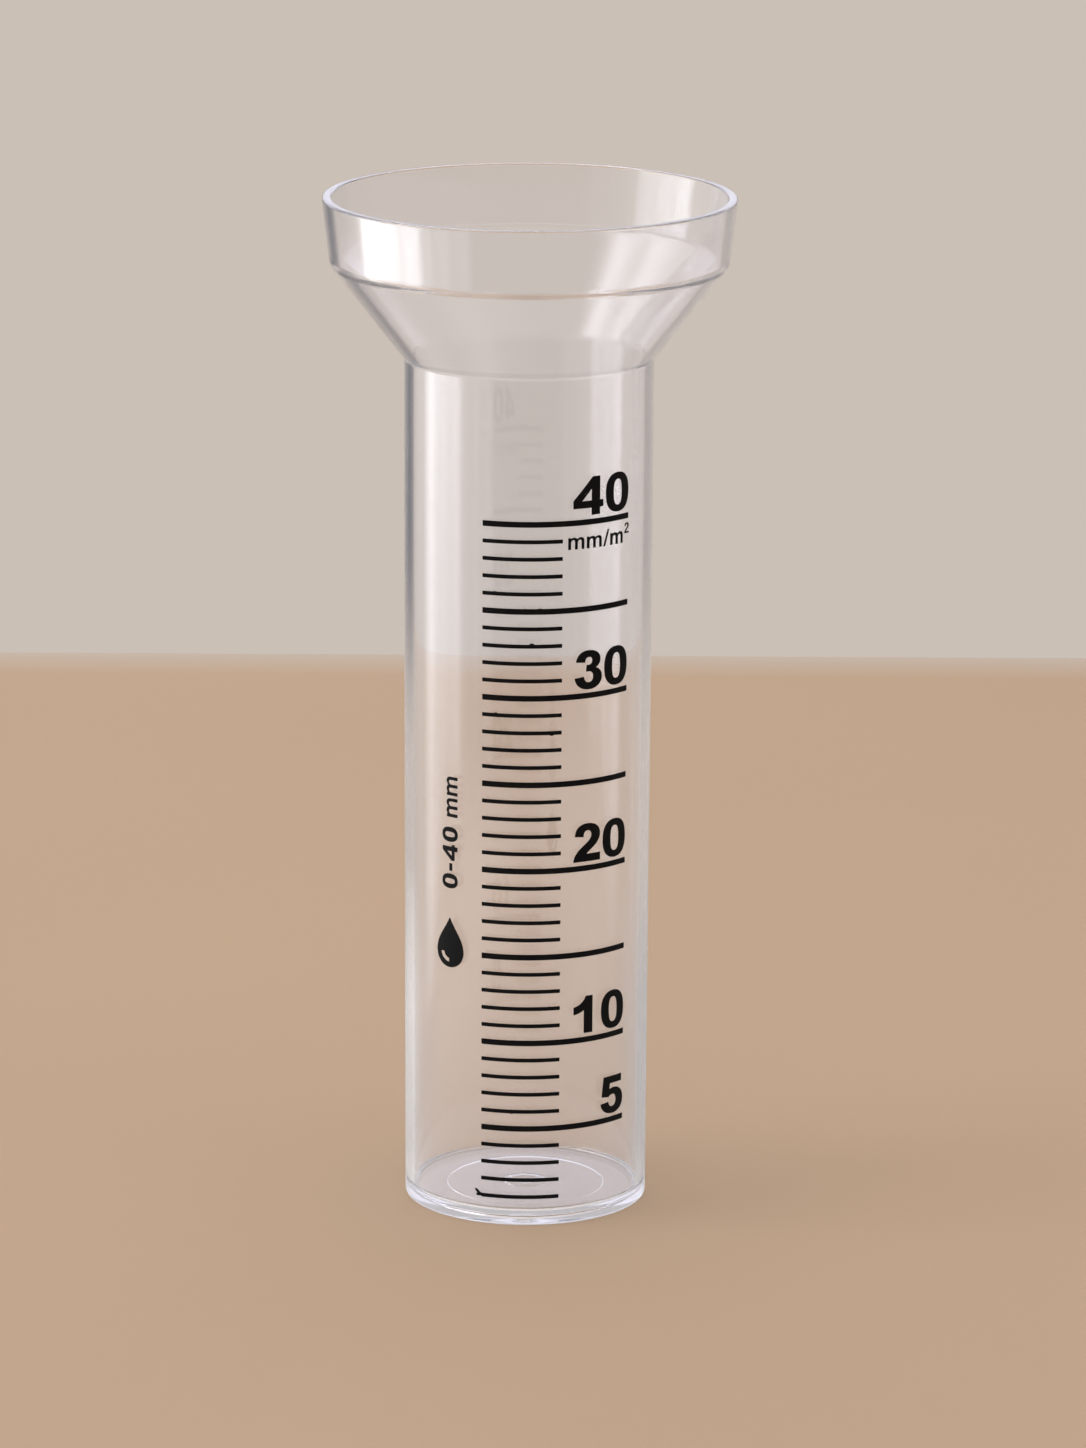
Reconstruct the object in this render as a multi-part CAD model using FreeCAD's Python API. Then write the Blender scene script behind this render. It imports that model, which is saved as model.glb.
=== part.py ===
import FreeCAD, Part
import math
import os

from FreeCAD import Vector

# Manual rain gauge: one clear moulded vessel, a measuring tube under a wide catching
# mouth, with its rain scale screen-printed on the outside of the tube.
# Millimetres and degrees. The origin is the centre of the foot, +Z is up, and the
# scale faces -Y. An azimuth is counted from -Y towards +X, and so is a place around the
# tube, which is a length in millimetres along its outside.

# moulded vessel
mouth_outer_radius = 34.1
mouth_wall = 1.6
collar_height = 10.9
collar_foot_radius = 32.85
cone_height = 15.9
tube_foot_radius = 20.3
tube_wall = 1.5
tube_draft = 0.133
ring_seat_length = 15.6
floor_thickness = 2.0

# edges and creases
rim_edge_radius = 0.35
foot_edge_radius = 0.4
collar_crease_outer_radius = 3.0
collar_crease_inner_radius = 1.4
cone_crease_outer_radius = 0.5
cone_crease_inner_radius = 1.0
floor_corner_radius = 1.0

# underside: a shallow hollow, and the moulding's feed point at its centre
hollow_radius = 13.2
hollow_depth = 0.3
hollow_edge_radius = 0.15
gate_dimple_radius = 3.6
gate_dimple_depth = 0.4
gate_nub_radius = 0.9
gate_nub_height = 0.35
gate_edge_radius = 0.1

# printed rain scale
ink_thickness = 0.08
print_reach = 1.0
full_scale_rain = 40
long_mark_every = 5
mark_start = -7.44
short_mark_end = 5.67
long_mark_end = 18.57
short_mark_width = 0.65
long_mark_width = 0.95
numbered_rain = (5, 10, 20, 30, 40)
numeral_height = 6.4
numeral_spacing = 0.45
numeral_gap = 0.65
print_margin = 0.6

# unit under the top mark, right-aligned to it
unit_height = 2.0
unit_spacing = 0.42
unit_gap = 0.72
unit_end = 18.75

# side print, which reads upwards to the left of the scale
side_print_place = -13.53
side_print_start_rain = 14
drop_width = 5.5
drop_height = 8.6
drop_shoulder = 0.4
drop_tip_slimness = 0.35
drop_highlight_width = 0.7
drop_highlight_reach = 0.68
side_print_gap = 5.0
range_print_height = 3.1
range_print_spacing = 0.5
range_letter_share = 0.72
range_word_space = 0.4

# Outlines of the characters. A pair is the end of a straight line. Six numbers are a
# cubic curve: its two control points, then its end. Digits are drawn 6.4 high and the
# small letters 2.0 high, and both are scaled to the height that is printed.
digit_drawn_height = 6.4
letter_drawn_height = 2.0

digit_0 = {
    "width": 5.2,
    "outline": [
        (2.6, 6.5),
        (4.45, 6.5, 5.2, 5.2, 5.2, 3.2),
        (5.2, 1.2, 4.45, -0.1, 2.6, -0.1),
        (0.75, -0.1, 0.0, 1.2, 0.0, 3.2),
        (0.0, 5.2, 0.75, 6.5, 2.6, 6.5),
    ],
    "hole": [
        (2.6, 5.35),
        (3.35, 5.35, 3.55, 4.6, 3.55, 3.2),
        (3.55, 1.8, 3.35, 1.05, 2.6, 1.05),
        (1.85, 1.05, 1.65, 1.8, 1.65, 3.2),
        (1.65, 4.6, 1.85, 5.35, 2.6, 5.35),
    ],
}

digit_1 = {
    "width": 5.2,
    "outline": [
        (2.25, 0.0),
        (3.9, 0.0),
        (3.9, 6.4),
        (2.6, 6.4),
        (2.25, 5.45, 1.4, 4.8, 0.35, 4.6),
        (0.35, 3.3),
        (1.1, 3.4, 1.8, 3.65, 2.25, 4.05),
        (2.25, 0.0),
    ],
}

digit_2 = {
    "width": 5.1,
    "outline": [
        (0.25, 4.35),
        (0.35, 5.75, 1.15, 6.5, 2.6, 6.5),
        (4.1, 6.5, 5.0, 5.75, 5.0, 4.6),
        (5.0, 3.7, 4.55, 3.05, 3.6, 2.3),
        (3.0, 1.85, 2.6, 1.6, 2.4, 1.3),
        (5.05, 1.3),
        (5.05, 0.0),
        (0.0, 0.0),
        (0.1, 1.1, 0.75, 1.9, 1.95, 2.8),
        (2.95, 3.55, 3.3, 3.95, 3.3, 4.5),
        (3.3, 5.0, 3.05, 5.3, 2.6, 5.3),
        (2.1, 5.3, 1.85, 5.0, 1.8, 4.2),
        (0.25, 4.35),
    ],
}

digit_3 = {
    "width": 5.1,
    "outline": [
        (0.2, 4.6),
        (0.45, 5.9, 1.3, 6.5, 2.55, 6.5),
        (3.95, 6.5, 4.8, 5.8, 4.8, 4.85),
        (4.8, 4.2, 4.45, 3.75, 3.9, 3.5),
        (4.7, 3.2, 5.1, 2.65, 5.1, 1.95),
        (5.1, 0.75, 4.1, -0.1, 2.55, -0.1),
        (1.1, -0.1, 0.15, 0.65, 0.0, 1.9),
        (1.65, 2.1),
        (1.75, 1.4, 2.05, 1.1, 2.55, 1.1),
        (3.1, 1.1, 3.4, 1.45, 3.4, 2.0),
        (3.4, 2.6, 3.05, 2.95, 2.45, 2.95),
        (2.05, 2.9),
        (2.15, 4.05),
        (2.4, 4.03),
        (2.95, 4.0, 3.2, 4.3, 3.2, 4.75),
        (3.2, 5.15, 2.95, 5.35, 2.55, 5.35),
        (2.15, 5.35, 1.9, 5.1, 1.85, 4.45),
        (0.2, 4.6),
    ],
}

digit_4 = {
    "width": 5.55,
    "outline": [
        (0.0, 1.2),
        (3.3, 1.2),
        (3.3, 0.0),
        (4.9, 0.0),
        (4.9, 1.2),
        (5.55, 1.2),
        (5.55, 2.4),
        (4.9, 2.4),
        (4.9, 6.4),
        (3.5, 6.4),
        (0.0, 2.5),
        (0.0, 1.2),
    ],
    "hole": [
        (1.55, 2.4),
        (3.3, 4.4),
        (3.3, 2.4),
        (1.55, 2.4),
    ],
}

digit_5 = {
    "width": 5.1,
    "outline": [
        (0.6, 6.4),
        (4.75, 6.4),
        (4.75, 5.15),
        (2.0, 5.15),
        (1.85, 4.1),
        (2.15, 4.25, 2.5, 4.35, 2.85, 4.35),
        (4.2, 4.35, 5.1, 3.5, 5.1, 2.2),
        (5.1, 0.75, 4.1, -0.1, 2.5, -0.1),
        (1.05, -0.1, 0.15, 0.6, 0.0, 1.8),
        (1.65, 1.98),
        (1.75, 1.4, 2.05, 1.1, 2.5, 1.1),
        (3.1, 1.1, 3.4, 1.5, 3.4, 2.15),
        (3.4, 2.85, 3.1, 3.2, 2.55, 3.2),
        (2.2, 3.2, 1.95, 3.1, 1.7, 2.8),
        (0.2, 3.0),
        (0.6, 6.4),
    ],
}

digits = {"0": digit_0, "1": digit_1, "2": digit_2, "3": digit_3, "4": digit_4, "5": digit_5}

range_dash = {
    "width": 2.6,
    "outline": [(0.0, 2.2), (2.6, 2.2), (2.6, 3.4), (0.0, 3.4), (0.0, 2.2)],
}

letter_m = {
    "width": 2.84,
    "outline": [
        (0.0, 0.0),
        (0.0, 1.95),
        (0.46, 1.95),
        (0.46, 1.7),
        (0.6, 1.9, 0.82, 2.0, 1.04, 2.0),
        (1.3, 2.0, 1.5, 1.87, 1.6, 1.66),
        (1.76, 1.88, 1.97, 2.0, 2.2, 2.0),
        (2.62, 2.0, 2.84, 1.75, 2.84, 1.35),
        (2.84, 0.0),
        (2.36, 0.0),
        (2.36, 1.2),
        (2.36, 1.46, 2.26, 1.58, 2.08, 1.58),
        (1.82, 1.58, 1.66, 1.4, 1.66, 1.08),
        (1.66, 0.0),
        (1.18, 0.0),
        (1.18, 1.2),
        (1.18, 1.46, 1.08, 1.58, 0.9, 1.58),
        (0.64, 1.58, 0.48, 1.4, 0.48, 1.08),
        (0.48, 0.0),
        (0.0, 0.0),
    ],
}

unit_stroke = {
    "width": 0.9,
    "outline": [(-0.12, -0.05), (0.22, -0.05), (1.1, 2.75), (0.76, 2.75), (-0.12, -0.05)],
}

unit_square = {
    "width": 1.1,
    "outline": [
        (0.03, 2.7),
        (0.08, 3.02, 0.25, 3.2, 0.55, 3.2),
        (0.88, 3.2, 1.08, 3.02, 1.08, 2.75),
        (1.08, 2.5, 0.95, 2.33, 0.7, 2.12),
        (0.52, 1.97, 0.42, 1.87, 0.36, 1.72),
        (1.08, 1.72),
        (1.08, 1.45),
        (0.0, 1.45),
        (0.03, 1.8, 0.2, 2.02, 0.48, 2.26),
        (0.7, 2.44, 0.78, 2.56, 0.78, 2.74),
        (0.78, 2.88, 0.7, 2.95, 0.55, 2.95),
        (0.4, 2.95, 0.32, 2.87, 0.3, 2.66),
        (0.03, 2.7),
    ],
}

unit_characters = (letter_m, letter_m, unit_stroke, letter_m, unit_square)
unit_top = 3.2


# ---- sizes that follow from the driving ones ----

same_point = 1e-6
draft_slope = math.tan(math.radians(tube_draft))
mouth_catch_radius = mouth_outer_radius - mouth_wall


def tube_radius(z):
    """Outer radius of the drafted tube at height z."""
    return tube_foot_radius + draft_slope * z


def around(place):
    """The azimuth of a place around the tube."""
    return math.degrees(place / tube_foot_radius)


def rain_height(rain):
    """Height of the water's surface after that many millimetres of rain.

    The rain that falls through the mouth fills the drafted bore from the floor up:
    mouth_catch_radius ** 2 * rain is the integral of the bore's radius squared.
    """
    bore = tube_radius(floor_thickness) - tube_wall
    filled = bore ** 3 + 3 * draft_slope * rain * mouth_catch_radius ** 2
    return floor_thickness + (filled ** (1 / 3) - bore) / draft_slope


top_mark_height = rain_height(full_scale_rain)
print_top = top_mark_height + long_mark_width / 2 + numeral_gap + numeral_height
ring_seat_foot = print_top + print_margin
ring_seat_radius = tube_radius(ring_seat_foot)
cone_foot = ring_seat_foot + ring_seat_length
collar_foot = cone_foot + cone_height
rim_height = collar_foot + collar_height


# ---- moulded vessel ----

def crossing(line_a, line_b):
    """The (r, z) point where two lines, each given by two points, cross."""
    (ax, az), (bx, bz) = line_a
    (cx, cz), (dx, dz) = line_b
    across = (bx - ax) * (dz - cz) - (bz - az) * (dx - cx)
    along = ((cx - ax) * (dz - cz) - (cz - az) * (dx - cx)) / across
    return ax + along * (bx - ax), az + along * (bz - az)


def inner_line(foot, top, wall):
    """The wall's inner line: the outer one, from foot to top, moved in by the wall."""
    dr, dz = top[0] - foot[0], top[1] - foot[1]
    length = math.hypot(dr, dz)
    shift_r, shift_z = -wall * dz / length, wall * dr / length
    return (
        (foot[0] + shift_r, foot[1] + shift_z),
        (top[0] + shift_r, top[1] + shift_z),
    )


def rounded_wire(corners):
    """A closed wire in the XZ plane through (r, z, edge radius) corners."""
    edges = []
    starts, ends = [], []
    for i, (r, z, radius) in enumerate(corners):
        corner = Vector(r, 0, z)
        before, after = corners[i - 1], corners[(i + 1) % len(corners)]
        back = (Vector(before[0], 0, before[1]) - corner).normalize()
        forth = (Vector(after[0], 0, after[1]) - corner).normalize()
        if not radius:
            starts.append(corner)
            ends.append(corner)
            continue
        half = back.getAngle(forth) / 2
        reach = radius / math.tan(half)
        middle = (back + forth).normalize()
        first, last = corner + back * reach, corner + forth * reach
        on_arc = corner + middle * (radius / math.sin(half) - radius)
        edges.append(Part.Arc(first, on_arc, last).toShape())
        starts.append(first)
        ends.append(last)
    for i, end in enumerate(ends):
        start = starts[(i + 1) % len(starts)]
        if end.distanceToPoint(start) > same_point:
            edges.append(Part.makeLine(end, start))
    return Part.Wire(Part.__sortEdges__(edges))


def gauge_body():
    """The clear vessel: floor, drafted tube, parallel ring seat, cone and collar."""
    foot = (tube_foot_radius, 0)
    seat_foot = (ring_seat_radius, ring_seat_foot)
    cone_low = (ring_seat_radius, cone_foot)
    collar_low = (collar_foot_radius, collar_foot)
    rim = (mouth_outer_radius, rim_height)

    tube_inside = inner_line(foot, seat_foot, tube_wall)
    seat_inside = inner_line(seat_foot, cone_low, tube_wall)
    cone_inside = inner_line(cone_low, collar_low, mouth_wall)
    collar_inside = inner_line(collar_low, rim, mouth_wall)
    rim_top = ((0, rim_height), (mouth_outer_radius, rim_height))
    floor_top = ((0, floor_thickness), (tube_foot_radius, floor_thickness))

    dimple_top = hollow_depth + gate_dimple_depth
    corners = [
        (0, dimple_top - gate_nub_height, 0),
        (gate_nub_radius, dimple_top - gate_nub_height, gate_edge_radius),
        (gate_nub_radius, dimple_top, gate_edge_radius),
        (gate_dimple_radius, dimple_top, gate_edge_radius),
        (gate_dimple_radius, hollow_depth, gate_edge_radius),
        (hollow_radius, hollow_depth, hollow_edge_radius),
        (hollow_radius, 0, gate_edge_radius),
        (*foot, foot_edge_radius),
        (*seat_foot, 0),
        (*cone_low, cone_crease_outer_radius),
        (*collar_low, collar_crease_outer_radius),
        (*rim, rim_edge_radius),
        (*crossing(rim_top, collar_inside), rim_edge_radius),
        (*crossing(collar_inside, cone_inside), collar_crease_inner_radius),
        (*crossing(cone_inside, seat_inside), cone_crease_inner_radius),
        (*crossing(seat_inside, tube_inside), 0),
        (*crossing(tube_inside, floor_top), floor_corner_radius),
        (0, floor_thickness, 0),
    ]
    section = Part.Face(rounded_wire(corners))
    return section.revolve(Vector(0, 0, 0), Vector(0, 0, 1), 360)


# ---- printed ink ----

def ink_band(low, high, start, end):
    """A band of ink on the tube's outside, between two heights and two places."""
    section = Part.makePolygon([
        Vector(tube_radius(low), 0, low),
        Vector(tube_radius(low) + ink_thickness, 0, low),
        Vector(tube_radius(high) + ink_thickness, 0, high),
        Vector(tube_radius(high), 0, high),
        Vector(tube_radius(low), 0, low),
    ])
    face = Part.Face(section)
    face.rotate(Vector(0, 0, 0), Vector(0, 0, 1), around(start) - 90)
    return face.revolve(Vector(0, 0, 0), Vector(0, 0, 1), around(end - start))


def ink_on_wall(faces, place):
    """Flat faces, drawn in the XZ plane about x = 0, printed at that place."""
    flat = Part.Compound(faces)
    box = flat.BoundBox
    side = max(-box.XMin, box.XMax) + print_reach
    band = ink_band(box.ZMin - print_reach, box.ZMax + print_reach, -side, side)
    flat.translate(Vector(0, -tube_foot_radius / 2, 0))
    inks = []
    for face in flat.Faces:
        inks += band.common(face.extrude(Vector(0, -tube_foot_radius, 0))).Solids
    ink = Part.Compound(inks)
    ink.rotate(Vector(0, 0, 0), Vector(0, 0, 1), around(place))
    return ink


def outline_wire(outline, scale, x, z):
    """A character's closed outline, scaled, with its lower left corner at (x, z)."""
    def point(px, pz):
        return Vector(x + px * scale, 0, z + pz * scale)

    edges = []
    here = point(*outline[0])
    for step in outline[1:]:
        there = point(*step[-2:])
        if len(step) == 2:
            edges.append(Part.makeLine(here, there))
        else:
            curve = Part.BezierCurve()
            curve.setPoles([here, point(*step[0:2]), point(*step[2:4]), there])
            edges.append(curve.toShape())
        here = there
    return Part.Wire(edges)


def character_face(character, scale, x, z):
    """A character's flat face, with its counter open."""
    face = Part.Face(outline_wire(character["outline"], scale, x, z))
    if "hole" in character:
        face = face.cut(Part.Face(outline_wire(character["hole"], scale, x, z)))
    return face


def line_of_print(characters, scale, spacing, baseline, end):
    """Characters in a level line that ends at that place, each square to the wall."""
    inks = []
    right = end
    for character in reversed(characters):
        width = character["width"] * scale
        faces = character_face(character, scale, -width / 2, baseline).Faces
        inks.append(ink_on_wall(faces, right - width / 2))
        right -= width + spacing
    return Part.Compound([solid for ink in inks for solid in ink.Solids])


def scale_mark(rain):
    """One mark of the rain scale. Every fifth one is longer and heavier."""
    long_mark = rain % long_mark_every == 0
    width = long_mark_width if long_mark else short_mark_width
    end = long_mark_end if long_mark else short_mark_end
    height = rain_height(rain)
    return ink_band(height - width / 2, height + width / 2, mark_start, end)


def numeral(rain):
    """The number that stands on a long mark."""
    scale = numeral_height / digit_drawn_height
    baseline = rain_height(rain) + long_mark_width / 2 + numeral_gap
    characters = [digits[figure] for figure in str(rain)]
    return line_of_print(characters, scale, numeral_spacing, baseline, long_mark_end)


def unit_mark():
    """Millimetres of rain, over the square metre that they fall on."""
    scale = unit_height / letter_drawn_height
    baseline = top_mark_height - long_mark_width / 2 - unit_gap - unit_top * scale
    return line_of_print(unit_characters, scale, unit_spacing, baseline, unit_end)


def drop_print():
    """A plain raindrop with a curved highlight left open in it."""
    foot = rain_height(side_print_start_rain)
    radius = drop_width / 2
    centre = foot + radius
    tip = Vector(0, 0, foot + drop_height)
    left, right = Vector(-radius, 0, centre), Vector(radius, 0, centre)
    shoulder = centre + (drop_height - radius) * drop_shoulder
    slim_x, slim_z = radius * drop_tip_slimness, shoulder + radius / 2
    left_side, right_side = Part.BezierCurve(), Part.BezierCurve()
    left_side.setPoles([tip, Vector(-slim_x, 0, slim_z), Vector(-radius, 0, shoulder), left])
    right_side.setPoles([right, Vector(radius, 0, shoulder), Vector(slim_x, 0, slim_z), tip])
    bottom = Part.Arc(left, Vector(0, 0, foot), right)
    drop = Part.Face(Part.Wire([left_side.toShape(), bottom.toShape(), right_side.toShape()]))

    outer = radius * drop_highlight_reach
    inner = outer - drop_highlight_width
    turns = [math.radians(angle) for angle in (185, 225, 265)]
    rim = [Vector(outer * math.cos(t), 0, centre + outer * math.sin(t)) for t in turns]
    bed = [Vector(inner * math.cos(t), 0, centre + inner * math.sin(t)) for t in turns]
    highlight = Part.Face(Part.Wire([
        Part.Arc(*rim).toShape(),
        Part.makeLine(rim[2], bed[2]),
        Part.Arc(*reversed(bed)).toShape(),
        Part.makeLine(bed[0], rim[0]),
    ]))
    return ink_on_wall(drop.cut(highlight).Faces, side_print_place)


def range_print():
    """The scale's range in plain numbers, reading upwards above the raindrop."""
    digit_scale = range_print_height / digit_drawn_height
    letter_scale = range_print_height * range_letter_share / letter_drawn_height
    words = [
        (digit_0, digit_scale), (range_dash, digit_scale), (digit_4, digit_scale),
        (digit_0, digit_scale), (None, digit_scale),
        (letter_m, letter_scale), (letter_m, letter_scale),
    ]
    faces = []
    x = 0
    for character, scale in words:
        if character is None:
            x += range_print_height * range_word_space
            continue
        faces += character_face(character, scale, x, -range_print_height / 2).Faces
        x += character["width"] * scale + range_print_spacing
    line = Part.Compound(faces)
    line.rotate(Vector(0, 0, 0), Vector(0, -1, 0), 90)
    start = rain_height(side_print_start_rain) + drop_height + side_print_gap
    line.translate(Vector(0, 0, start))
    return ink_on_wall(line.Faces, side_print_place)


# ---- export ----

os.makedirs("parts", exist_ok=True)


def export(name, shape):
    shape.exportStep("parts/" + name + ".step")
    print(name, "solids", len(shape.Solids), "volume", round(shape.Volume, 3))


export("gauge_body", gauge_body())
for rain in range(1, full_scale_rain + 1):
    export("mark_%02d" % rain, scale_mark(rain))
for rain in numbered_rain:
    export("numeral_%02d" % rain, numeral(rain))
export("unit_mark", unit_mark())
export("drop_print", drop_print())
export("range_print", range_print())
print("height", round(rim_height, 2), "ring seat", round(ring_seat_radius, 3),
      "top mark at", round(top_mark_height, 2), "cone foot at", round(cone_foot, 2))
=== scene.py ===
import math

import bmesh
import bpy
from mathutils import Matrix, Vector


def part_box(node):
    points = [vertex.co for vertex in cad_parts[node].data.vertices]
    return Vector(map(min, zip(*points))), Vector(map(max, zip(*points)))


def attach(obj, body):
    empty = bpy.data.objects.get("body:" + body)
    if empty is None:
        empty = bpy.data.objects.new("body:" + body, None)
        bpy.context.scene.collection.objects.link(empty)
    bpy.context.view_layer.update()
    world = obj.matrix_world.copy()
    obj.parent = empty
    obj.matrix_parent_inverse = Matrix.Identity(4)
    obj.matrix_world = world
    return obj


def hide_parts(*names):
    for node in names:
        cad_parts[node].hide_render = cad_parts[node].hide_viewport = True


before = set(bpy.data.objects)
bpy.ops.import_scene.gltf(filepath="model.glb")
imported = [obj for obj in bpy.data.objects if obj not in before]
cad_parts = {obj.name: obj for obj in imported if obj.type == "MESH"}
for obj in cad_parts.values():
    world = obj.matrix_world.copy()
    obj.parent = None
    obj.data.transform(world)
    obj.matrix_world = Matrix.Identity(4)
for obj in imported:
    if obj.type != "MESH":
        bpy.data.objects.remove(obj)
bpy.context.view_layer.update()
mm = 0.001
print("frame loaded, nodes:", len(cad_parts))


class Sum:
    # a shader socket that takes part in sums
    def __init__(self, tree, socket):
        self.tree, self.socket = tree, socket

    def math(self, operation, other, swapped=False):
        values = {0: other, 1: self} if swapped else {0: self, 1: other}
        return self.tree.node("ShaderNodeMath", {"operation": operation}, values).out(0)

    def __add__(self, other): return self.math("ADD", other)
    def __radd__(self, other): return self.math("ADD", other)
    def __sub__(self, other): return self.math("SUBTRACT", other)
    def __rsub__(self, other): return self.math("SUBTRACT", other, swapped=True)
    def __mul__(self, other): return self.math("MULTIPLY", other)
    def __rmul__(self, other): return self.math("MULTIPLY", other)
    def __gt__(self, other): return self.math("GREATER_THAN", other)


class Node:
    def __init__(self, tree, node):
        self.tree, self.node = tree, node

    def out(self, name):
        return Sum(self.tree, self.node.outputs[name])


class Tree:
    # a node tree, written as expressions
    def __init__(self, holder):
        holder.use_nodes = True
        self.nodes, self.links = holder.node_tree.nodes, holder.node_tree.links
        self.nodes.clear()

    def node(self, kind, settings=None, values=None):
        made = self.nodes.new(kind)
        for name, setting in (settings or {}).items():
            if name == "stops":
                ramp = made.color_ramp
                while len(ramp.elements) < len(setting):
                    ramp.elements.new(1)
                for element, (place, colour) in zip(ramp.elements, setting):
                    element.position = place
                    element.color = colour
            else:
                setattr(made, name, setting)
        for name, value in (values or {}).items():
            if isinstance(value, Sum):
                self.links.new(value.socket, made.inputs[name])
            else:
                made.inputs[name].default_value = value
        return Node(self, made)

    def place(self):
        return self.node("ShaderNodeTexCoord").out("Object")

    def noise(self, scale, detail, rough=0.5, stretch=None):
        spot = self.place()
        if stretch:
            spot = self.node("ShaderNodeMapping", values={"Vector": spot, "Scale": stretch}).out(0)
        values = {"Vector": spot, "Scale": scale, "Detail": detail, "Roughness": rough}
        return self.node("ShaderNodeTexNoise", values=values).out(0)

    def between(self, value, low, high, toLow=0.0, toHigh=1.0):
        values = {0: value, 1: low, 2: high, 3: toLow, 4: toHigh}
        return self.node("ShaderNodeMapRange", {"clamp": True}, values).out(0)

    def mixColour(self, share, first, second):
        values = {0: share, 6: first, 7: second}
        return self.node("ShaderNodeMix", {"data_type": "RGBA"}, values).out(2)

    def mixShader(self, share, first, second):
        return self.node("ShaderNodeMixShader", values={0: share, 1: first, 2: second}).out(0)

    def bump(self, height, strength=1.0, distance=1.0):
        values = {"Height": height, "Strength": strength, "Distance": distance}
        return self.node("ShaderNodeBump", values=values).out(0)

    def mirrored(self):
        # 1 for light that has met a shiny surface on its way, 0 for what the camera sees plainly
        return self.node("ShaderNodeLightPath").out("Glossy Depth") > 0.5


def newMaterial(name):
    material = bpy.data.materials.new(name)
    return material, Tree(material)


clearPlastic = {
    "colour": (0.95, 0.95, 0.972, 1),
    "clearness": 0.972,            # the rest is the faint milkiness of a handled surface
    "ior": 1.57,
    "wave": {"scale": 60, "detail": 1.5, "stretch": (1, 1, 0.35)},
    "waveHeight": 0.02 * mm,       # slow unevenness left by the moulding
    "flow": {"scale": 420, "detail": 2, "stretch": (1, 1, 0.02)},
    "flowHeight": 0.0014 * mm,     # fine upright lines where the melt ran up the tube
    "scuff": {"scale": 900, "detail": 3, "rough": 0.7, "stretch": (1, 1, 0.3)},
    "haze": (0.52, 0.8, 0.012, 0.05),          # roughness, from bare to scuffed
    "lampShare": 0.93,             # how much of a lamp's light passes to what is behind
    "depthColour": (0.74, 0.83, 1.0, 1),
    "depthDensity": 10,
}


def clearMaterial(s):
    material, tree = newMaterial("clearPlastic")
    wave, flow, scuff = (tree.noise(**s[pattern]) for pattern in ("wave", "flow", "scuff"))
    plastic = tree.node("ShaderNodeBsdfPrincipled", values={
        "Base Color": s["colour"],
        "Roughness": tree.between(scuff, *s["haze"]),
        "IOR": s["ior"],
        "Transmission Weight": s["clearness"],
        "Normal": tree.bump(wave * s["waveHeight"] + flow * s["flowHeight"]),
    }).out(0)
    passed = (s["lampShare"],) * 3 + (1,)
    lampLight = tree.node("ShaderNodeBsdfTransparent", values={"Color": passed}).out(0)
    shadow = tree.node("ShaderNodeLightPath").out("Is Shadow Ray")
    surface = tree.mixShader(shadow, plastic, lampLight)
    depth = {"Color": s["depthColour"], "Density": s["depthDensity"]}
    volume = tree.node("ShaderNodeVolumeAbsorption", values=depth).out(0)
    tree.node("ShaderNodeOutputMaterial", values={"Surface": surface, "Volume": volume})
    return material


scaleInk = {
    "dense": (0.0022, 0.0022, 0.0026, 1),
    "thin": (0.009, 0.0082, 0.008, 1),
    "grain": {"scale": 1400, "detail": 3, "rough": 0.6},
    "cloud": {"scale": 160, "detail": 2},
    "pinhole": {"scale": 2600, "detail": 1},
    "grainShare": 0.6,             # of the wear, and the cloud has the rest
    "wear": (0.5, 0.72),
    "opaque": (0.78, 0.8, 1.0, 0.35),          # alpha, from whole ink to a pinhole
    "roughness": (0.3, 0.7, 0.4, 0.6),         # from the grain's hollows to its peaks
    "specular": 0.08,
    "grainBump": 0.3,
    "grainHeight": 0.01 * mm,
}


def inkMaterial(s):
    material, tree = newMaterial("scaleInk")
    grain, cloud, pinhole = (tree.noise(**s[pattern]) for pattern in ("grain", "cloud", "pinhole"))
    worn = grain * s["grainShare"] + cloud * (1 - s["grainShare"])
    ink = tree.node("ShaderNodeBsdfPrincipled", values={
        "Base Color": tree.mixColour(tree.between(worn, *s["wear"]), s["dense"], s["thin"]),
        "Roughness": tree.between(grain, *s["roughness"]),
        "Specular IOR Level": s["specular"],
        "Alpha": tree.between(pinhole, *s["opaque"]),
        "Normal": tree.bump(grain, s["grainBump"], s["grainHeight"]),
    }).out(0)
    tree.node("ShaderNodeOutputMaterial", values={"Surface": ink})
    return material


def newPiece(name, bm, material):
    mesh = bpy.data.meshes.new(name)
    bm.to_mesh(mesh)
    bm.free()
    mesh.materials.append(material)
    piece = bpy.data.objects.new(name, mesh)
    bpy.context.scene.collection.objects.link(piece)
    return piece


def finishPiece(name, bm, material):
    piece = newPiece(name, bm, material)
    piece.data.shade_smooth()
    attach(piece, "root")
    return piece


# millimetres and degrees; the total height is the CAD's
vessel = {
    "mouthRadius": 34.1,
    "mouthWall": 1.6,
    "collarHeight": 10.9,
    "collarFootRadius": 32.85,
    "coneHeight": 15.9,
    "footRadius": 20.3,
    "tubeWall": 1.5,
    "draft": 0.133,
    "seatLength": 15.6,            # the straight stretch of tube under the cone
    "floor": 2.0,
    "rimEdge": 0.35,
    "footEdge": 0.4,
    "collarCreaseOut": 3.0,
    "collarCreaseIn": 1.4,
    "coneCreaseOut": 0.5,
    "coneCreaseIn": 1.0,
    "floorCorner": 1.0,
    "hollow": (13.2, 0.3, 0.15),   # radius, depth and edge of the hollow under the floor
    "dimple": (3.6, 0.4),          # radius and depth of the feed point's dimple
    "nub": (0.9, 0.35),            # radius and height of what is left of the feed
    "smallEdge": 0.1,
    "turns": 480,
    "arcSteps": 6,
    "mergeWithin": 0.0005,
}


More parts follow.
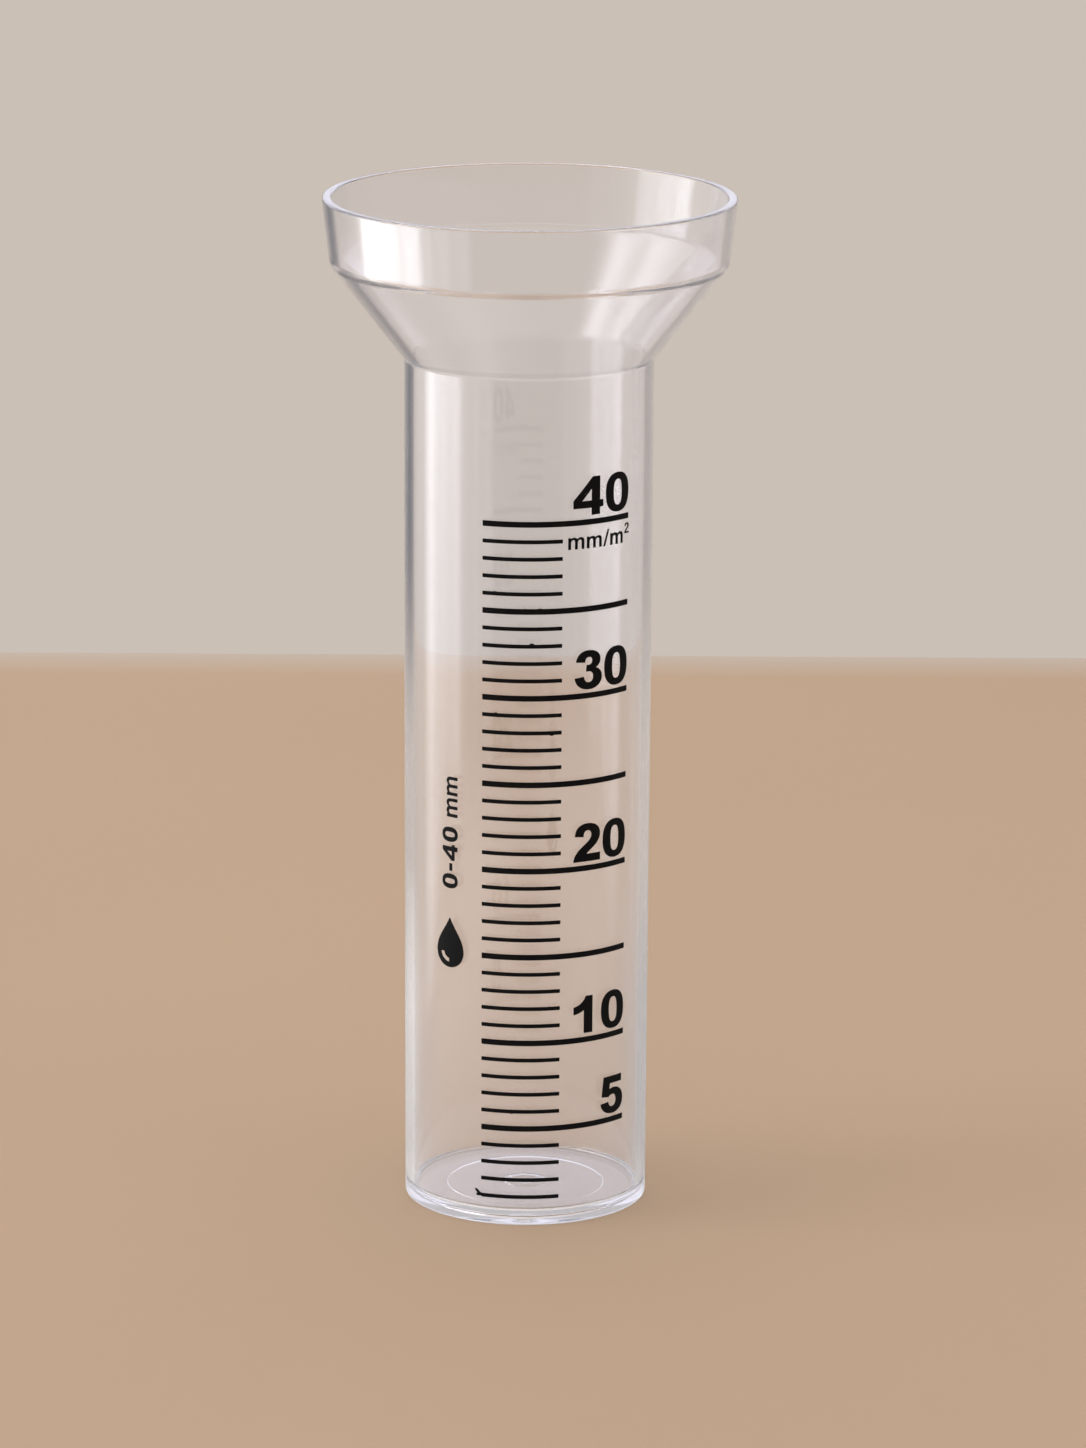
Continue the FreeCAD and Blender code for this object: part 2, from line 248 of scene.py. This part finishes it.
def crossing(lineA, lineB):
    (ax, az), (bx, bz) = lineA
    (cx, cz), (dx, dz) = lineB
    across = (bx - ax) * (dz - cz) - (bz - az) * (dx - cx)
    along = ((cx - ax) * (dz - cz) - (cz - az) * (dx - cx)) / across
    return ax + along * (bx - ax), az + along * (bz - az)


def innerLine(foot, top, wall):
    # a wall's inner face, parallel to its outer face
    dr, dz = top[0] - foot[0], top[1] - foot[1]
    length = math.hypot(dr, dz)
    r, z = -wall * dz / length, wall * dr / length
    return (foot[0] + r, foot[1] + z), (top[0] + r, top[1] + z)


def vesselCorners(s, rimHeight):
    # (radius, height, edge radius) round the section, in millimetres
    collarFoot = rimHeight - s["collarHeight"]
    coneFoot = collarFoot - s["coneHeight"]
    seatFoot = coneFoot - s["seatLength"]
    seatRadius = s["footRadius"] + math.tan(math.radians(s["draft"])) * seatFoot
    foot, seatLow, coneLow = (s["footRadius"], 0), (seatRadius, seatFoot), (seatRadius, coneFoot)
    collarLow, rim = (s["collarFootRadius"], collarFoot), (s["mouthRadius"], rimHeight)
    tubeIn = innerLine(foot, seatLow, s["tubeWall"])
    seatIn = innerLine(seatLow, coneLow, s["tubeWall"])
    coneIn = innerLine(coneLow, collarLow, s["mouthWall"])
    collarIn = innerLine(collarLow, rim, s["mouthWall"])
    rimTop = (0, rimHeight), (1, rimHeight)
    floorTop = (0, s["floor"]), (1, s["floor"])
    hollowRadius, hollowDepth, hollowEdge = s["hollow"]
    dimpleRadius, dimpleDepth = s["dimple"]
    nubRadius, nubHeight = s["nub"]
    dimpleTop = hollowDepth + dimpleDepth
    return [
        (0, dimpleTop - nubHeight, 0),
        (nubRadius, dimpleTop - nubHeight, s["smallEdge"]),
        (nubRadius, dimpleTop, s["smallEdge"]),
        (dimpleRadius, dimpleTop, s["smallEdge"]),
        (dimpleRadius, hollowDepth, s["smallEdge"]),
        (hollowRadius, hollowDepth, hollowEdge),
        (hollowRadius, 0, s["smallEdge"]),
        (*foot, s["footEdge"]),
        (*seatLow, 0),
        (*coneLow, s["coneCreaseOut"]),
        (*collarLow, s["collarCreaseOut"]),
        (*rim, s["rimEdge"]),
        (*crossing(rimTop, collarIn), s["rimEdge"]),
        (*crossing(collarIn, coneIn), s["collarCreaseIn"]),
        (*crossing(coneIn, seatIn), s["coneCreaseIn"]),
        (*crossing(seatIn, tubeIn), 0),
        (*crossing(tubeIn, floorTop), s["floorCorner"]),
        (0, s["floor"], 0),
    ]


def makeVessel(s, material):
    corners = vesselCorners(s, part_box("gauge_body")[1].z / mm)
    places = [Vector((r * mm, 0, z * mm)) for r, z, _ in corners]
    bm = bmesh.new()
    points = [bm.verts.new(place) for place in places]
    for first, second in zip(points, points[1:]):
        bm.edges.new((first, second))
    for i, (_, _, radius) in enumerate(corners):
        if not radius:
            continue
        back, forth = places[i - 1] - places[i], places[i + 1] - places[i]
        # a bevel is given where the arc starts, not its radius
        reach = radius * mm / math.tan(back.angle(forth) / 2)
        bmesh.ops.bevel(bm, geom=[points[i]], offset=reach, offset_type="OFFSET",
                        segments=s["arcSteps"], profile=0.5, affect="VERTICES", material=-1,
                        clamp_overlap=False)
    bmesh.ops.spin(bm, geom=bm.verts[:] + bm.edges[:], cent=(0, 0, 0), axis=(0, 0, 1),
                   angle=2 * math.pi, steps=s["turns"], use_merge=True)
    bmesh.ops.remove_doubles(bm, verts=bm.verts[:], dist=s["mergeWithin"] * mm)
    bmesh.ops.recalc_face_normals(bm, faces=bm.faces[:])
    vesselPiece = finishPiece("vessel", bm, material)
    flatWalls = vesselPiece.modifiers.new("flatWalls", "WEIGHTED_NORMAL")
    flatWalls.mode = "FACE_AREA"
    flatWalls.weight = 100
    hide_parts("gauge_body")
    print("vessel faces:", len(vesselPiece.data.polygons))


plastic = clearMaterial(clearPlastic)
ink = inkMaterial(scaleInk)
makeVessel(vessel, plastic)

strayInk = {
    "thickness": 0.06,
    "sides": 14,
    # by a mark: share of its length from the left, (aside, up) from there, (width, height), turn
    "spots": [
        ("mark_01", 0.0, (-0.5, 0.46), (1.6, 0.5), -45),
        ("mark_01", 0.0, (-0.3, 0.08), (1.2, 0.62), 8),
        ("mark_33", 0.62, (0.0, 0.3), (0.85, 0.5), 0),
        ("mark_35", 0.36, (0.0, 0.42), (0.6, 0.3), 10),
        ("mark_35", 0.27, (0.0, 0.4), (0.35, 0.28), 0),
        ("mark_29", 0.18, (0.0, 0.3), (0.5, 0.34), -15),
        ("mark_28", 0.88, (0.0, -0.27), (0.9, 0.4), 12),
        ("mark_06", 0.4, (0.0, -0.25), (0.7, 0.32), 5),
        ("mark_36", 0.16, (0.0, 0.27), (0.6, 0.3), 0),
    ],
}


def makeStrayInk(s, material):
    bm = bmesh.new()
    foot, slope = vessel["footRadius"], math.tan(math.radians(vessel["draft"]))
    upright = Matrix.Rotation(math.radians(90), 3, "X")
    for mark, share, (aside, rise), (width, tall), turned in s["spots"]:
        low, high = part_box(mark)
        height = (low.z + high.z) / 2 / mm + rise
        radius = foot + slope * height
        # angles round the tube from its front
        left, right = (math.asin(edge / mm / radius) for edge in (low.x, high.x))
        angle = left + (right - left) * share + aside / radius
        spot = bmesh.ops.create_circle(bm, cap_ends=True, segments=s["sides"], radius=0.5)["verts"]
        bmesh.ops.scale(bm, vec=(width, tall, 1), verts=spot)
        bmesh.ops.rotate(bm, matrix=Matrix.Rotation(math.radians(turned), 3, "Z"), verts=spot)
        bmesh.ops.rotate(bm, matrix=upright, verts=spot)
        bmesh.ops.translate(bm, vec=(0, -radius, height), verts=spot)
        bmesh.ops.rotate(bm, matrix=Matrix.Rotation(angle, 3, "Z"), verts=spot)
        caps = list({face for vert in spot for face in vert.link_faces})
        extruded = bmesh.ops.extrude_face_region(bm, geom=caps)["geom"]
        raised = [part for part in extruded if isinstance(part, bmesh.types.BMVert)]
        outward = Vector((math.sin(angle), -math.cos(angle), 0)) * s["thickness"]
        bmesh.ops.translate(bm, vec=outward, verts=raised)
    bmesh.ops.scale(bm, vec=(mm, mm, mm), verts=bm.verts[:])
    bmesh.ops.recalc_face_normals(bm, faces=bm.faces[:])
    finishPiece("strayInk", bm, material)


makeStrayInk(strayInk, ink)

for name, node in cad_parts.items():
    if name != "gauge_body":
        node.data.materials.clear()
        node.data.materials.append(ink)
print("ink set")


# the camera sees only the wall's colour, and the shiny plastic mirrors all of this
room = {
    "wall": (0.597, 0.527, 0.468, 1),
    # Round: (degrees from the front towards the right, strength)
    # Up: (sine of the height above the horizon, strength)
    "windowColour": (0.94, 0.96, 1.0, 1),
    "windowRound": [(-134, 0.0), (-126, 0.1), (-119, 0.2), (-116, 0.12), (-112, 0.35),
                    (-109, 0.9), (-98, 1.0), (-96, 0.66), (-93, 0.8), (-82, 0.84), (-80, 0.6),
                    (-77, 0.84), (-68, 0.8), (-65, 0.26), (-60, 0.28), (-58, 0.16), (-49, 0.2),
                    (-47, 0.1), (-37, 0.13), (-33, 0.0)],
    "windowUp": [(-0.47, 0.0), (-0.45, 1.2), (-0.295, 1.2), (-0.28, 0.34), (-0.26, 0.34),
                 (-0.25, 0.4), (-0.2, 0.74), (-0.15, 0.9), (0.0, 0.9), (0.04, 0.36), (0.2, 0.3),
                 (0.34, 0.0)],
    "windowStrength": 4.8,
    # a second, higher pane of the same window
    "upperRound": [(-150, 0.0), (-138, 0.25), (-128, 0.4), (-120, 0.6), (-113, 0.8),
                   (-107, 0.9), (-100, 0.56), (-94, 0.66), (-88, 0.95), (-82, 1.0), (-76, 0.6),
                   (-70, 0.2), (-62, 0.0)],
    "upperUp": [(0.34, 0.0), (0.42, 1.0), (0.8, 1.0), (0.92, 0.3), (0.97, 0.0)],
    "upperStrength": 4.0,
    # the room's darker corner behind on the left, and the shade on the right
    "cornerColour": (0.42, 0.5, 0.72, 1),
    "cornerRound": [(-176, 0.0), (-164, 0.5), (-156, 0.82), (-143, 0.82), (-137, 0.0),
                    (134, 0.0), (143, 0.38), (160, 0.3), (172, 0.0)],
    "cornerUp": [(-0.6, 0.0), (-0.5, 0.7), (-0.33, 0.7), (-0.31, 0.0), (-0.247, 0.0),
                 (-0.222, 1.0), (-0.1, 1.0), (0.0, 0.0)],
    "cornerStrength": 0.16,
    "skyColour": (0.76, 0.79, 1.0, 1),
    "skyUp": [(0.09, 0.0), (0.14, 0.98), (0.27, 0.98), (0.3, 0.62), (0.36, 0.55), (0.42, 0.0)],
    "ceilingUp": [(-1.0, 0.9), (-0.2, 1.0), (0.5, 1.0), (0.8, 1.5), (1.0, 1.7)],
}


def makeRoom(s):
    world = bpy.data.worlds.new("plainRoom")
    bpy.context.scene.world = world
    tree = Tree(world)
    direction = tree.node("ShaderNodeTexCoord").out("Generated")
    parts = tree.node("ShaderNodeSeparateXYZ", values={0: direction})
    x, y, z = parts.out("X"), parts.out("Y"), parts.out("Z")
    # both run from 0 to 1, and are at a half straight ahead and at the horizon
    turn = x.math("ARCTAN2", y * -1) * (0.5 / math.pi) + 0.5
    up = z * 0.5 + 0.5

    def along(value, stops, reach):
        # strengths go in halved, because a ramp ends at 1
        shades = [(place / reach + 0.5, (strength / 2,) * 3 + (1,)) for place, strength in stops]
        return tree.node("ShaderNodeValToRGB", {"stops": shades}, {0: value}).out(0) * 2

    def patch(name):
        return along(turn, s[name + "Round"], 360) * along(up, s[name + "Up"], 2)

    def light(colour, strength):
        values = {"Color": colour, "Strength": strength}
        return tree.node("ShaderNodeBackground", values=values).out(0)

    windows = patch("window") * s["windowStrength"] + patch("upper") * s["upperStrength"]
    corner = patch("corner")
    lit = light(s["wall"], (1 - corner) * along(up, s["ceilingUp"], 2))
    for added in (light(s["windowColour"], windows),
                  light(s["skyColour"], along(up, s["skyUp"], 2)),
                  light(s["cornerColour"], corner * s["cornerStrength"])):
        lit = tree.node("ShaderNodeAddShader", values={0: lit, 1: added}).out(0)
    seen = tree.mixShader(tree.mirrored(), light(s["wall"], 1.0), lit)
    tree.node("ShaderNodeOutputWorld", values={"Surface": seen})


plainFloor = {
    "colour": (0.57, 0.43, 0.315, 1),
    "cloudColour": (0.5415, 0.4085, 0.29925, 1),
    "cloud": {"scale": 3, "detail": 2},
    "cloudSpread": (0.3, 0.7),
    "roughness": 0.8,
    "specular": 0.2,
    "back": 0.386,
    "front": -3.5,
    "side": 3.5,
    "fade": 0.02,                  # how deep the floor's far edge melts into the wall
    "airUnderFoot": 0.05 * mm,
    # what the shiny plastic mirrors: a painted shine that the floor gives off this near, and the
    # room beyond it
    "near": (0.24, 0.34),
    "nearBehind": (-0.03, 0.02, 0, 0.12),      # how much nearer the shine ends behind
    "shine": (0.62, 0.58, 0.55),
    "shineBack": (-0.02, 0.02, 1.0, 0.68),
    "shineAcross": (-0.13, 0.02, 2.3, 1.2),    # bright on the window's side
}


def makeFloor(s, wall):
    material, tree = newMaterial("plainFloor")
    spot = tree.place()
    parts = tree.node("ShaderNodeSeparateXYZ", values={0: spot})
    across, back = parts.out("X"), parts.out("Y")
    cloudy = tree.between(tree.noise(**s["cloud"]), *s["cloudSpread"])
    tone = tree.mixColour(cloudy, s["colour"], s["cloudColour"])
    tone = tree.mixColour(tree.between(back, s["back"] - s["fade"], s["back"]), tone, wall)
    paint = tree.node("ShaderNodeBsdfPrincipled", values={
        "Base Color": tone,
        "Roughness": s["roughness"],
        "Specular IOR Level": s["specular"],
    }).out(0)
    away = tree.node("ShaderNodeVectorMath", {"operation": "LENGTH"}, {0: spot}).out("Value")
    away = away + tree.between(back, *s["nearBehind"])
    # painted shine: the floor glows by itself here, only in reflections, to stand for the window's
    # light on it
    bright = tree.between(across, *s["shineAcross"]) * tree.between(back, *s["shineBack"])
    shine = {0: s["shine"], "Scale": bright}
    glow = tree.node("ShaderNodeVectorMath", {"operation": "SCALE"}, shine).out(0)
    paintedShine = tree.node("ShaderNodeEmission", values={"Color": glow}).out(0)
    beyond = tree.node("ShaderNodeBsdfTransparent").out(0)
    seen = tree.mixShader(tree.between(away, *s["near"]), paintedShine, beyond)
    surface = tree.mixShader(tree.mirrored(), paint, seen)
    tree.node("ShaderNodeOutputMaterial", values={"Surface": surface})
    bm = bmesh.new()
    bmesh.ops.create_grid(bm, x_segments=1, y_segments=1, size=0.5)
    bmesh.ops.scale(bm, vec=(2 * s["side"], s["back"] - s["front"], 1), verts=bm.verts[:])
    middle = (s["back"] + s["front"]) / 2
    bmesh.ops.translate(bm, vec=(0, middle, -s["airUnderFoot"]), verts=bm.verts[:])
    floor = newPiece("plainFloor", bm, material)


makeRoom(room)
makeFloor(plainFloor, room["wall"])

lamps = {
    "windowLight": {"at": (-2.6, -0.6, 2.3), "size": (1.8, 2.0), "watts": 46},
    "softTop": {"at": (0.1, -0.2, 2.6), "size": (2.4, 2.4), "watts": 11},
}


def makeLamp(name, s):
    lamp = bpy.data.lights.new(name, "AREA")
    lamp.shape = "RECTANGLE"
    lamp.size, lamp.size_y = s["size"]
    lamp.energy = s["watts"]
    holder = bpy.data.objects.new(name, lamp)
    at = Vector(s["at"])
    facing = (-at).to_track_quat("-Z", "Y").to_matrix().to_4x4()
    holder.matrix_world = Matrix.Translation(at) @ facing
    holder.visible_camera = holder.visible_transmission = holder.visible_glossy = False
    bpy.context.scene.collection.objects.link(holder)


for name, lamp in lamps.items():
    makeLamp(name, lamp)
print("room and lamps set")

viewpoint = {
    "at": (2.6 * mm, -1066.1 * mm, 350.0 * mm),
    "down": 14.15,
    "roll": 0.31,
    "lens": 163.8,
    "sensor": 36,
    "nearest": 0.05,
    "farthest": 20,
}


def makeCamera(s):
    lens = bpy.data.cameras.new("viewpoint")
    lens.lens, lens.sensor_width = s["lens"], s["sensor"]
    lens.clip_start, lens.clip_end = s["nearest"], s["farthest"]
    camera = bpy.data.objects.new("viewpoint", lens)
    tilt = Matrix.Rotation(math.radians(90 - s["down"]), 4, "X")
    roll = Matrix.Rotation(math.radians(s["roll"]), 4, "Z")
    camera.matrix_world = Matrix.Translation(s["at"]) @ tilt @ roll
    bpy.context.scene.collection.objects.link(camera)
    bpy.context.scene.camera = camera


makeCamera(viewpoint)
bpy.context.scene.view_settings.view_transform = "Standard"

# enough for light to cross all the clear walls
bounces = {
    "max_bounces": 32,
    "glossy_bounces": 24,
    "transmission_bounces": 32,
    "transparent_max_bounces": 32,
}
for name, count in bounces.items():
    setattr(bpy.context.scene.cycles, name, count)
